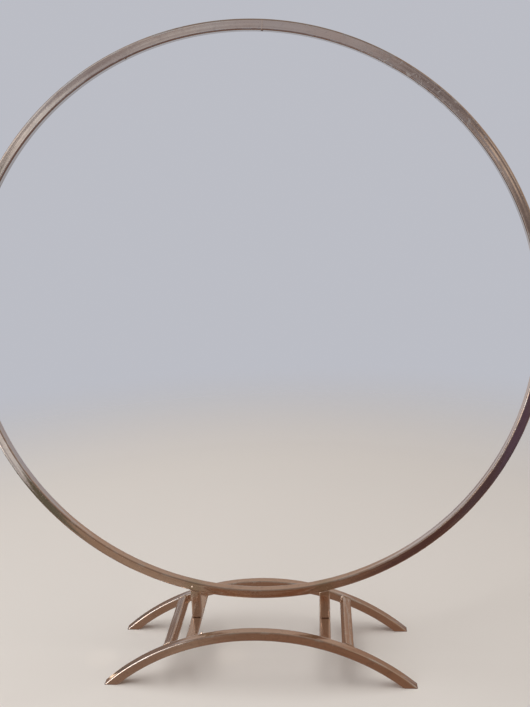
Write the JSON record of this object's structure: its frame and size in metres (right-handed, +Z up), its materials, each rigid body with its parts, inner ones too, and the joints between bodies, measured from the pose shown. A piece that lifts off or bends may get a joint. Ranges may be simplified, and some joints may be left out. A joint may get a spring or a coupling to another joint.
{
  "type": "wreath frame",
  "caption": "Free-standing round hoop of square tube on a low base of arches, for holding a wreath or flowers upright on a table.",
  "frame": {"origin": "middle of the base's footprint, on the table", "axes": "+Z up, +X to the viewer's right with the hoop seen face on, hoop axis along Y, front at -Y"},
  "size_m": [0.6, 0.112, 0.674],
  "materials": {
    "rose_gold_plating": "thin mirror-bright pale rose-gold plating on steel tube",
    "plated_weld": "weld beads under the same plating, slightly rippled",
    "zinc_steel": "bright zinc-plated steel"
  },
  "bodies": {
    "root": {"hoop": "rose_gold_plating", "hoop_seam_weld": "plated_weld", "left_post": "rose_gold_plating", "right_post": "rose_gold_plating", "left_post_weld": "plated_weld", "right_post_weld": "plated_weld", "left_threaded_plug": "zinc_steel", "right_threaded_plug": "zinc_steel", "mounting_screws": "zinc_steel", "flat_washers": "zinc_steel", "lock_washers": "zinc_steel", "front_arch": "rose_gold_plating", "back_arch": "rose_gold_plating", "left_cross_tube": "rose_gold_plating", "right_cross_tube": "rose_gold_plating", "left_mounting_strip": "rose_gold_plating", "right_mounting_strip": "rose_gold_plating", "left_cross_tube_front_weld": "plated_weld", "left_cross_tube_back_weld": "plated_weld", "right_cross_tube_front_weld": "plated_weld", "right_cross_tube_back_weld": "plated_weld", "left_strip_front_weld": "plated_weld", "left_strip_back_weld": "plated_weld", "right_strip_front_weld": "plated_weld", "right_strip_back_weld": "plated_weld"}
  },
  "joints": []
}
